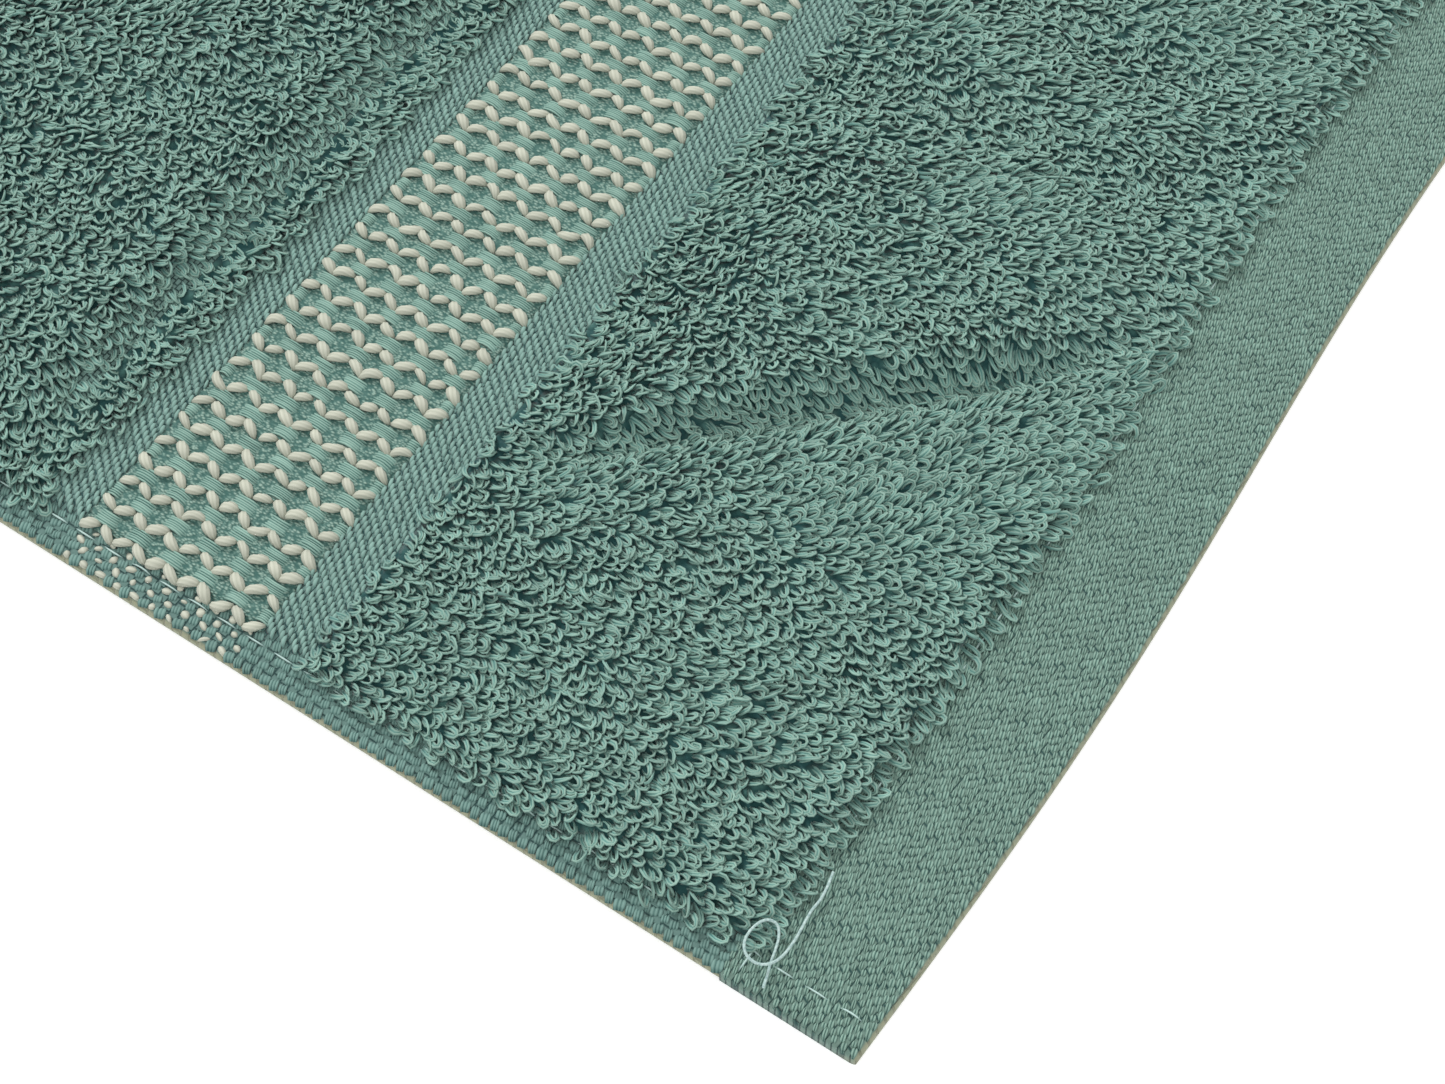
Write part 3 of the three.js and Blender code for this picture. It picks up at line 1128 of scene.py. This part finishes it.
def makeBundles(half):
    xs, edges = borderPlaces(half)
    gap, node = np.meshgrid(np.arange(len(xs) - 1), np.arange(len(edges)), indexing="ij")
    # a chain bulges to its right after a stitch that leans right
    joined = (gap + node) % 2 == 0
    gap, node = gap[joined], node[joined]
    x = (xs[gap] + xs[gap + 1]) / 2 + rng.normal(0, border["bundleStray"], gap.shape)
    y = edges[node] + rng.normal(0, border["bundleStray"], gap.shape)
    # a bundle at the border's edge is half a bundle, on the border's side
    atEnd = (node == len(edges) - 1).astype(float) - (node == 0)
    y = y - atEnd * tealBundle["length"] * 0.22  # just under a quarter, so that its end stays in
    lengths = 1 - 0.5 * np.abs(atEnd)
    near = inView(x, y) if half == "near" else np.zeros(len(x), bool)
    made = []
    for name, chosen, yarn in (
        ("near_border_flat_bundles", near, tealBundle),
        (f"{half}_border_flat_bundles_far", ~near, farBundle),
    ):
        if chosen.any():
            made.append(shortYarns(name, x[chosen], y[chosen], yarn, finish["tealYarn"],
                                   math.pi / 2, lengths[chosen]))
    for piece in made:
        settle(piece, half, "border_flat_yarn")
    return made


def makeBorder(half):
    low, high = spanOf(half, "border")
    left, right = clothSides
    xs = linesAcross(left, right, 2 * mm, 8 * mm)
    cloth = slab(f"{half}_border_ground_cloth", xs, spacing(low, high, 2.5 * mm),
                 groundHeight, clothUnderside, finish["borderGround"])
    settle(cloth, half, "border_ground")
    onIt = stripes[half] + makeStitches(half) + makeBundles(half)
    right - left
    high - low


for half in halves:
    makeBorder(half)
print("borders made")


# hems

hemShape = {
    "height": levels["hem"],
    "edgeRadius": 1.0 * mm,
    "paleEdge": 0.2 * mm,
    "paleFade": 0.3 * mm,
}


def hemOutline(depth):
    # a folded edge in section: rounded outside, square inside; distances from the towel's edge, heights
    radius = hemShape["edgeRadius"]
    height = hemShape["height"]
    angle = np.radians(np.linspace(-90, -270, 13))
    side = np.where(np.sin(angle) > 0, height - radius, radius)
    rounded = np.stack([radius + radius * np.cos(angle), side + radius * np.sin(angle)], -1)
    inner = np.linspace(radius, depth, max(2, int(depth / (1.2 * mm))))[1:]
    top = np.stack([inner, np.full(len(inner), height)], -1)
    under = np.stack([inner[::-1], np.zeros(len(inner))], -1)
    return np.concatenate([rounded, top, under])


def hemStrip(name, lines, depth, place, material):
    # place turns a distance along the hem and one from its edge into x and y
    outline = hemOutline(depth)
    along, distance = np.meshgrid(lines, outline[:, 0], indexing="ij")
    x, y = place(along, distance)
    lift = groundHeight(x, y) - hemShape["height"]
    z = outline[:, 1][None, :] * (1 + lift / hemShape["height"])
    points = np.stack([x, y + edgeBow(x, y), z], -1)
    steps, sides = x.shape
    walls = gridFaces(steps, sides, closedColumns=True)
    cap = np.arange(sides)[None]
    faces = [walls, cap[:, ::-1], cap + (steps - 1) * sides]
    if signedVolume(points.reshape(-1, 3), walls) < 0:
        faces = [face[:, ::-1] for face in faces]
    hem = newPiece(name, points, faces, material)
    markPoints(hem, "foldedEdge", 1 - rising(distance, hemShape["paleEdge"], hemShape["paleFade"]))
    markShadeUnderYarns(hem, x, y)
    return hem


def signedVolume(points, quads):
    a, b, c, d = (points[quads[:, corner]] for corner in range(4))
    return float(np.sum(np.cross(a, b) * c) + np.sum(np.cross(a, c) * d)) / 6


hemGrain = {
    "form": "pair", "length": 1.45 * mm, "width": 0.62 * mm, "thickness": 0.5 * mm,
    "height": 0.14 * mm, "sink": -0.24 * mm, "steps": 4, "tip": 0.4, "vary": 0.14,
    "pitch": (1.27 * mm, 0.64 * mm), "lean": 0.26, "stray": (0.06 * mm, 0.04 * mm),
}
sideBlock = {
    "form": "ribbon", "length": 1.45 * mm, "width": 1.26 * mm, "waist": 0.96, "height": 0.1 * mm,
    "sink": -0.26 * mm, "thickness": 0.36 * mm, "strands": 3, "steps": 4, "tip": 0.8, "vary": 0.1,
    "grooveShade": 0.7, "ragged": 0.05 * mm,
    "pitch": (1.3 * mm, 1.34 * mm), "lean": 0.35, "stray": 0.06 * mm,
}
sideStrand = {**sideBlock, "width": 1.0 * mm}
sideDot = {
    "form": "round", "length": 1.3 * mm, "width": 0.9 * mm, "thickness": 0.5 * mm,
    "height": 0.08 * mm, "sink": -0.2 * mm, "steps": 5, "sides": 8, "lobes": 4, "groove": 0.2,
    "tip": 0.4, "tipShade": 0.2, "vary": 0.24,
}


def makeEndHem(half):
    side = halves[half]
    depth = zones["endHem"][1]
    lines = linesAcross(-halfWidth, halfWidth, 2.5 * mm, 8 * mm)
    hem = hemStrip(f"{half}_end_hem_fold", lines, depth,
                   lambda along, distance: (along, side * (halfLength - distance)), finish["hem"])
    settle(hem, half, "end_hem")
    if half == "far":
        return [hem]
    pitchX, pitchY = hemGrain["pitch"]
    strayX, strayY = hemGrain["stray"]
    xs = np.arange(-halfWidth + 0.6 * mm, -halfWidth + 0.2, pitchX)
    ys = np.arange(-halfLength + 0.7 * mm, -halfLength + depth, pitchY)
    x, y = np.meshgrid(xs, ys)
    x = (x + pitchX * 0.5 * (np.arange(len(ys)) % 2)[:, None]).ravel()
    y = y.ravel() + rng.normal(0, strayY, x.shape)
    x = x + rng.normal(0, strayX, x.shape)
    keep = inView(x, y)
    yarns = shortYarns("near_end_hem_yarns", x[keep], y[keep], hemGrain, finish["hemYarn"], hemGrain["lean"])
    settle(yarns, half, "end_hem")
    return [hem, yarns]


def makeSideHems(half):
    depth = zones["endHem"][1]
    low, high = (-halfLength + depth, 0) if half == "near" else (0, halfLength - depth)
    made = []
    for label, edge in (("left", -1), ("right", 1)):
        fine = half == "near" and label == "left"
        lines = linesAlong(low, high, 2.5 * mm if fine else 8 * mm)
        hem = hemStrip(f"{half}_side_hem_{label}_fold", lines, sideHemWidth,
                       lambda along, distance: (edge * (halfWidth - distance), along), finish["sideHem"])
        settle(hem, half, "side_hem_" + label, True)
        made.append(hem)
        if fine:
            made += makeSideBlocks(low)
    return made


def makeSideBlocks(low):
    # blocks of three strands, set like a chequerboard, with the border's thick yarn between them
    pitchX, pitchY = sideBlock["pitch"]
    xs = -halfWidth + 0.7 * mm + np.arange(4) * pitchX
    ys = np.arange(low + 0.6 * mm, -halfLength + 0.2, pitchY)
    x, y = np.meshgrid(xs, ys)
    row, column = np.indices(x.shape)
    odd = ((row + column) % 2).ravel() == 1
    x = x.ravel() + rng.normal(0, sideBlock["stray"], x.size)
    y = y.ravel() + rng.normal(0, sideBlock["stray"], y.size)
    start, end = spanOf("near", "border")
    inBorder = (y > start) & (y < end)
    seen = inView(x, y)
    flat = np.full(x.shape, sideBlock["lean"])
    loose = math.pi / 2 + rng.normal(0, 0.5, x.shape)
    pieces = []
    for kind, chosen, yarn, material, slot, direction in (
        ("blocks", ~odd, sideBlock, "sideHemYarn", "side_hem_weave", flat),
        ("strands", odd & ~inBorder, sideStrand, "sideHemYarn", "side_hem_weave", flat),
        ("thick_yarns", odd & inBorder, sideDot, "whiteYarn", "border_white_yarn", loose),
    ):
        chosen = chosen & seen
        made = shortYarns("near_side_hem_left_" + kind, x[chosen], y[chosen], yarn, finish[material],
                          direction[chosen])
        settle(made, "near", "side_hem_left")
        pieces.append(made)
    return pieces


hems = {}
for half in halves:
    hems[half, "strip"] = makeEndHem(half)
    hems[half, "field"] = makeSideHems(half)
print("hems made")


# seams

seam = {
    "gap": 1.4 * mm,
    "fromSide": 4.0 * mm,
    "fromEnd": 16.5 * mm,
    "firstAcross": 3 * mm,
    "firstAlong": 3.5 * mm,
    "beforeFold": 1 * mm,
}
seamStitch = {
    "form": "round", "length": 3.0 * mm, "width": 0.24 * mm, "thickness": 0.24 * mm, "height": 0.36 * mm,
    "sink": 0.02 * mm, "steps": 5, "sides": 4, "tip": 0.6, "vary": 0.04, "bend": 0.03,
}


def makeSeams(half):
    side = halves[half]
    pitch = seamStitch["length"] + seam["gap"]
    x = np.arange(-halfWidth + seam["firstAcross"], halfWidth - seam["firstAcross"], pitch)
    y = np.full_like(x, side * (halfLength - seam["fromEnd"]))
    end = shortYarns(f"{half}_end_seam", x, y, seamStitch, finish["seamThread"])
    settle(end, half, "end_hem_stitch")
    hems[half, "strip"].append(end)
    for label, edge in (("left", -1), ("right", 1)):
        y = side * np.arange(halfLength - seam["firstAlong"], seam["beforeFold"], -pitch)
        x = np.full_like(y, edge * (halfWidth - seam["fromSide"]))
        name = f"{half}_side_seam_{label}"
        stitches = shortYarns(name, x, y, seamStitch, finish["seamThread"], math.pi / 2)
        settle(stitches, half, "side_hem_stitch_" + label, True)
        hems[half, "field"].append(stitches)


for half in halves:
    makeSeams(half)
# for each stretch of terry, lists its pile and the hems beside it
for (half, zone), (cloth, piles, size) in terry.items():
    onIt = piles + (loops[zone] if half == "near" else []) + hems[half, zone]
print("seams made")


# floor and light

studio = {
    "floorSize": 6.0,
    "floorShades": (0.88, 0.92),
    "floorGlow": 0.35,  # keeps the floor pale beside the towel
    "lights": {
        # where from, as X and Y; degrees above the floor; degrees of spread; strength
        "window": ((0.5, 0.87), 42, 20, 2.1),
        "reflector": ((-0.9, -0.45), 55, 50, 0.95),
    },
    "worldStrength": 0.75,
}


def makeStudio():
    bpy.ops.mesh.primitive_plane_add(size=studio["floorSize"], location=(0, 0, 0))
    floor = bpy.context.object
    floor.name = "studio_floor"
    material, shader = newMaterial("studioFloor", 0.95)
    low, high = (grey(shade) for shade in studio["floorShades"])
    feed(shader, "Base Color", noise(objectPlace(), 3.0).ramp((0.3, low), (0.7, high)))
    shader.inputs["Emission Color"].default_value = (1, 1, 1, 1)
    shader.inputs["Emission Strength"].default_value = studio["floorGlow"]
    floor.data.materials.append(material)
    floor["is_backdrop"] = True
    for name, ((fromX, fromY), elevation, spread, strength) in studio["lights"].items():
        height = math.radians(elevation)
        towards = Vector((-fromX * math.cos(height), -fromY * math.cos(height), -math.sin(height)))
        bpy.ops.object.light_add(type="SUN", location=(0, 0, 2))
        light = bpy.context.object
        light.name = name
        light.rotation_euler = towards.to_track_quat("-Z", "Y").to_euler()
        light.data.energy = strength
        light.data.angle = math.radians(spread)
    world = bpy.data.worlds.new("studioWorld")
    world.use_nodes = True
    background = world.node_tree.nodes["Background"]
    background.inputs["Color"].default_value = (1, 1, 1, 1)
    background.inputs["Strength"].default_value = studio["worldStrength"]
    scene.world = world
    scene.view_settings.view_transform = "Standard"


makeStudio()
print("studio made")

shown = [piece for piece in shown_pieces() if piece.type == "MESH"]
triangles = sum(sum(len(face.vertices) - 2 for face in piece.data.polygons) for piece in shown)
print(f"{len(shown)} pieces, {triangles} triangles")
